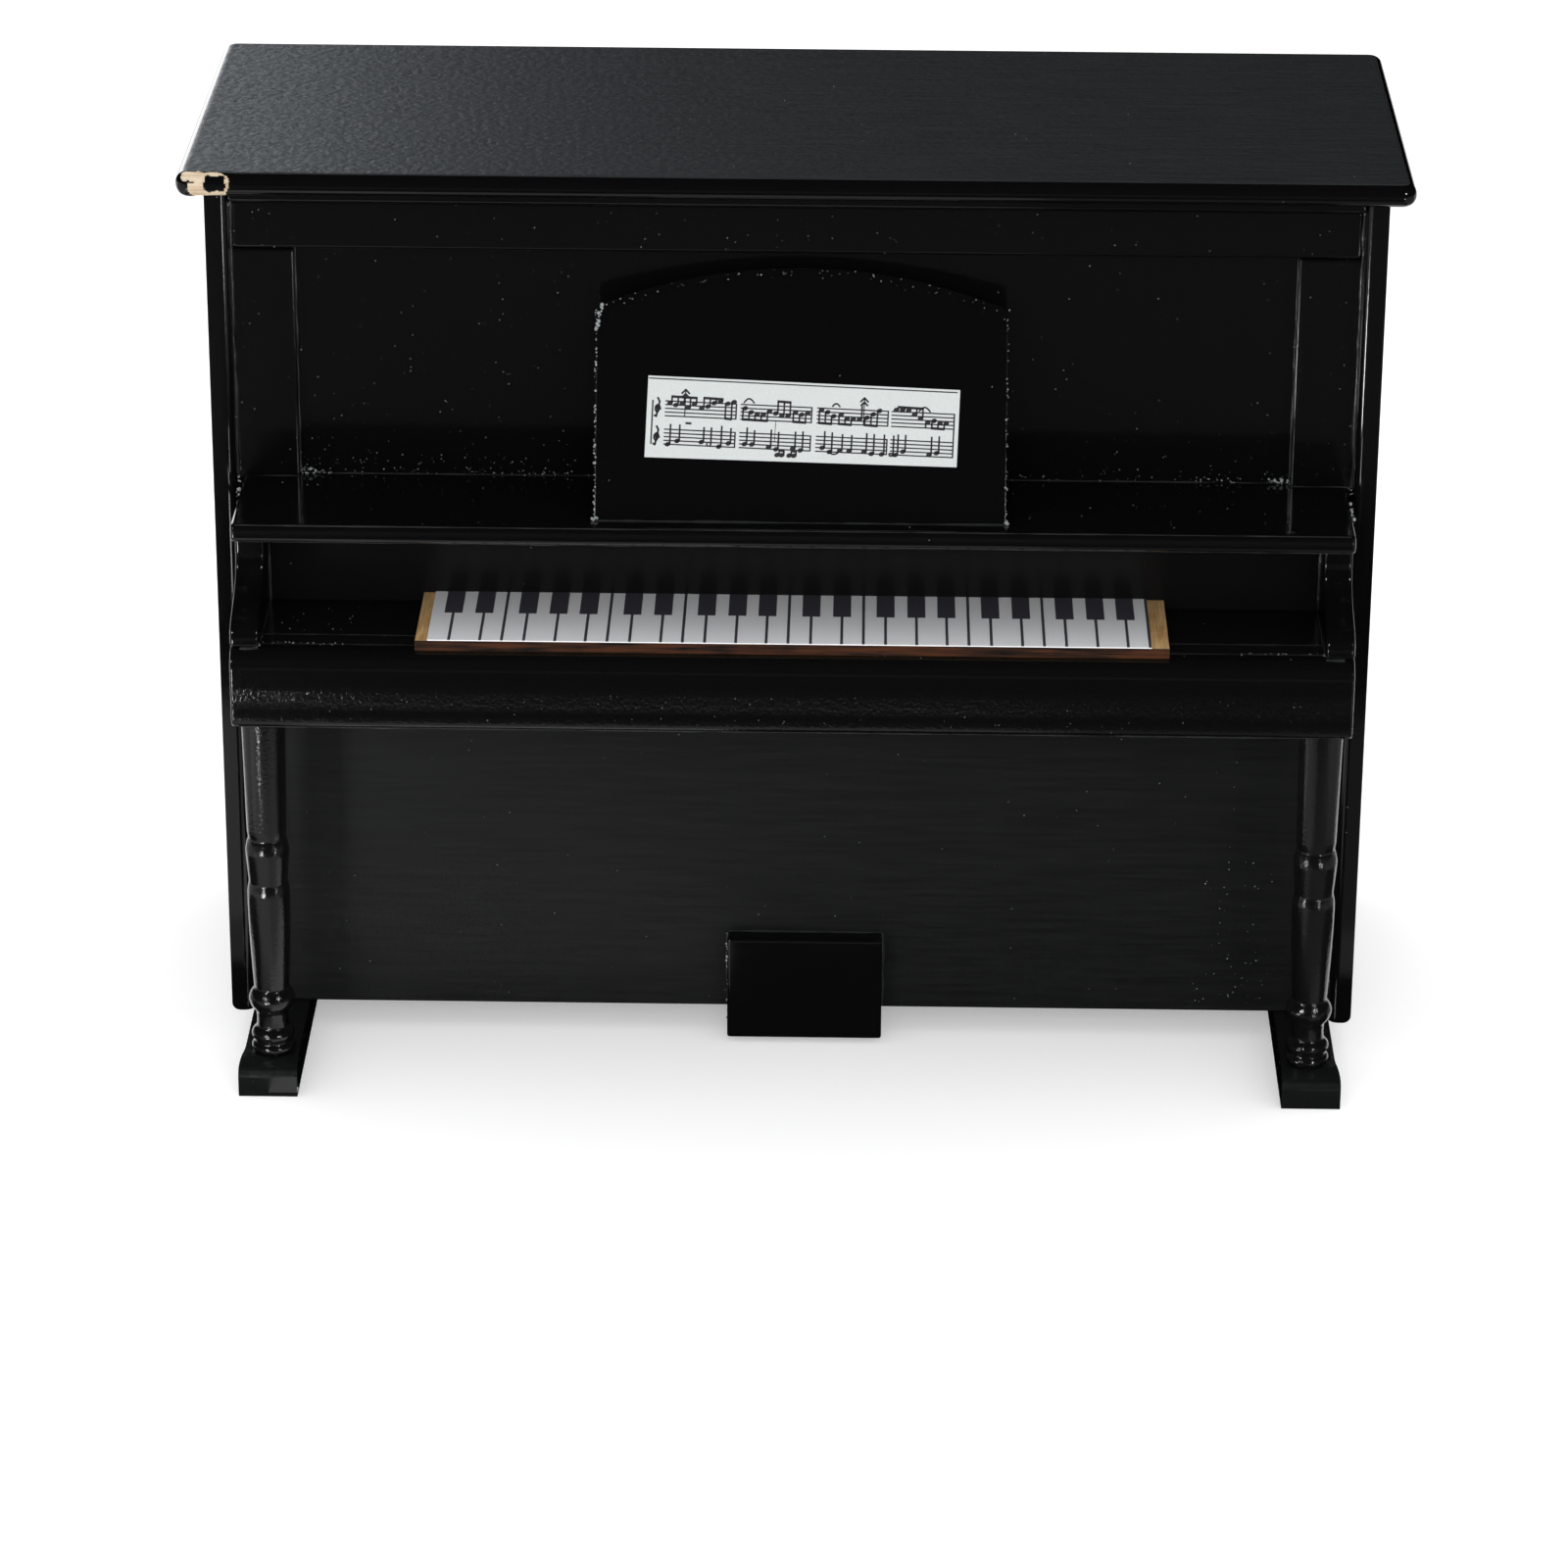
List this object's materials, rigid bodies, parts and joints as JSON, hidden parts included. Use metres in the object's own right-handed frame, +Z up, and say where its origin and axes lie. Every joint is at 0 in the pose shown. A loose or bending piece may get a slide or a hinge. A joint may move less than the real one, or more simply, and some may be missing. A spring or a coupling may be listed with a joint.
{
  "type": "dolls house upright piano",
  "caption": "Miniature upright piano in black lacquer with a fixed leaning music desk, printed paper keys, turned legs and runner feet.",
  "frame": {"origin": "centre of the base of the bounding box, on the surface the piano stands on", "axes": "+X to the player's right along the keyboard, +Y from the player towards the back, +Z up"},
  "size_m": [0.132, 0.0608, 0.1036],
  "materials": {
    "black_lacquer": "high gloss black lacquer sprayed over wood, with fine orange peel",
    "bare_wood": "bare sawn wood, unfinished",
    "key_print": "printed coated paper",
    "music_print": "printed coated paper"
  },
  "bodies": {
    "root": {"top_board": "black_lacquer", "left_side_panel": "black_lacquer", "right_side_panel": "black_lacquer", "back_panel": "black_lacquer", "bottom_board": "black_lacquer", "lower_front_panel": "black_lacquer", "upper_front_panel": "black_lacquer", "top_rail": "black_lacquer", "left_stile": "black_lacquer", "right_stile": "black_lacquer", "cornice_strip": "black_lacquer", "keyboard_shelf": "black_lacquer", "fallboard": "black_lacquer", "key_bed": "black_lacquer", "key_slip": "black_lacquer", "left_key_cheek": "black_lacquer", "right_key_cheek": "black_lacquer", "key_strip": "bare_wood", "keyboard_paper": "key_print", "music_desk": "black_lacquer", "music_sheet": "music_print", "left_leg": "black_lacquer", "right_leg": "black_lacquer", "left_runner": "black_lacquer", "right_runner": "black_lacquer", "pedal_block": "black_lacquer"}
  },
  "joints": []
}
